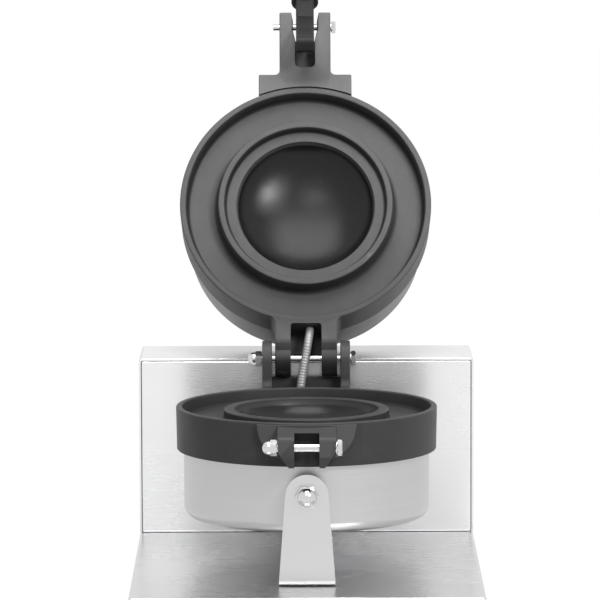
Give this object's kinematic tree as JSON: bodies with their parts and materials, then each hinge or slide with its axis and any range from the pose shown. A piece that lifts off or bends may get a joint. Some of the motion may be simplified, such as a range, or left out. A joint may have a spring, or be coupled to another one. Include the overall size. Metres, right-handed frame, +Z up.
{
  "type": "ufo burger press",
  "caption": "Countertop press with two heated round cast plates, a hinged lid with a hook latch, and a folded steel base with a control box behind.",
  "frame": {"origin": "on the worktop, under the middle of the outline with the lid open", "axes": "+Z up, -Y towards the user, +X to the user's right"},
  "size_m": [0.25, 0.5054, 0.5488],
  "materials": {
    "brushed_steel": "brushed stainless sheet",
    "satin_steel": "satin stainless",
    "chrome": "polished",
    "cast_black": "cast, dark non-stick coating",
    "lever_black": "black lacquer",
    "bakelite": "moulded, glossy",
    "rubber": "matt",
    "heater": "annealed",
    "zinc": "zinc plated",
    "sheath": "spiral metal sheath",
    "black_plastic": "fine grain",
    "white_plastic": "smooth",
    "red_lens": "translucent lens",
    "green_lens": "translucent lens"
  },
  "bodies": {
    "base": {"base_tray": "brushed_steel", "base_cover": "zinc", "foot_front_left": "rubber", "foot_front_right": "rubber", "foot_rear_left": "rubber", "foot_rear_right": "rubber", "box_cover": "brushed_steel", "box_front_panel": "brushed_steel", "box_back_panel": "brushed_steel", "lid_stop": "rubber", "front_bracket": "brushed_steel", "bracket_bolt": "zinc", "bracket_spacer": "zinc", "bracket_cap_nut": "chrome", "bracket_screw_left": "zinc", "bracket_screw_right": "zinc", "lower_plate": "cast_black", "lower_casing": "satin_steel", "lower_heater": "heater", "lower_heater_clamp": "zinc", "lower_stud": "zinc", "lower_clamp_nut": "zinc", "lower_casing_nut": "zinc", "wire_conduit": "zinc", "conduit_nut_front": "zinc", "conduit_nut_rear": "zinc", "hinge_bolt": "chrome", "hinge_cap_nut": "chrome", "latch_pin": "chrome", "latch_cap_nut": "chrome", "lid_lead": "sheath", "lead_grommet": "rubber", "thermostat": "zinc", "timer_movement": "zinc", "power_lamp": "green_lens", "heating_lamp": "red_lens", "power_switch": "black_plastic", "terminal_block": "white_plastic", "cable_gland": "black_plastic", "gland_lock_nut": "black_plastic"},
    "lid": {"lid_plate": "cast_black", "lid_casing": "satin_steel", "lid_heater": "heater", "lid_heater_clamp": "zinc", "lid_stud": "zinc", "lid_clamp_nut": "zinc", "lid_casing_nut": "chrome", "lever_pin": "chrome"},
    "latch": {"latch_lever": "lever_black", "grip_collar": "lever_black", "handle_grip": "bakelite", "grip_nut": "chrome"},
    "temperature_dial": {"temperature_knob": "black_plastic", "temperature_spindle": "zinc"},
    "timer_dial": {"timer_knob": "black_plastic", "timer_spindle": "zinc"},
    "rocker": {"power_rocker": "black_plastic"}
  },
  "joints": [
    {"name": "lid_hinge", "type": "hinge", "parent": "base", "child": "lid", "pos_m": [0, 0.02756, 0.1955], "axis": [1, 0, 0], "range_deg": [0, 117.5], "deforming": ["lid_lead"]},
    {"name": "latch_pivot", "type": "hinge", "parent": "lid", "child": "latch", "pos_m": [0, 0.14336, 0.43397], "axis": [1, 0, 0], "range_deg": [-40, 16]},
    {"name": "temperature_turn", "type": "hinge", "parent": "base", "child": "temperature_dial", "pos_m": [-0.01, -0.23294, 0.038], "axis": [0, 1, 0], "range_deg": [0, 270]},
    {"name": "timer_turn", "type": "hinge", "parent": "base", "child": "timer_dial", "pos_m": [0.07, -0.23294, 0.038], "axis": [0, 1, 0], "range_deg": [0, 300]},
    {"name": "power_rock", "type": "hinge", "parent": "base", "child": "rocker", "pos_m": [-0.0825, -0.23064, 0.038], "axis": [1, 0, 0], "range_deg": [-20, 0]}
  ]
}
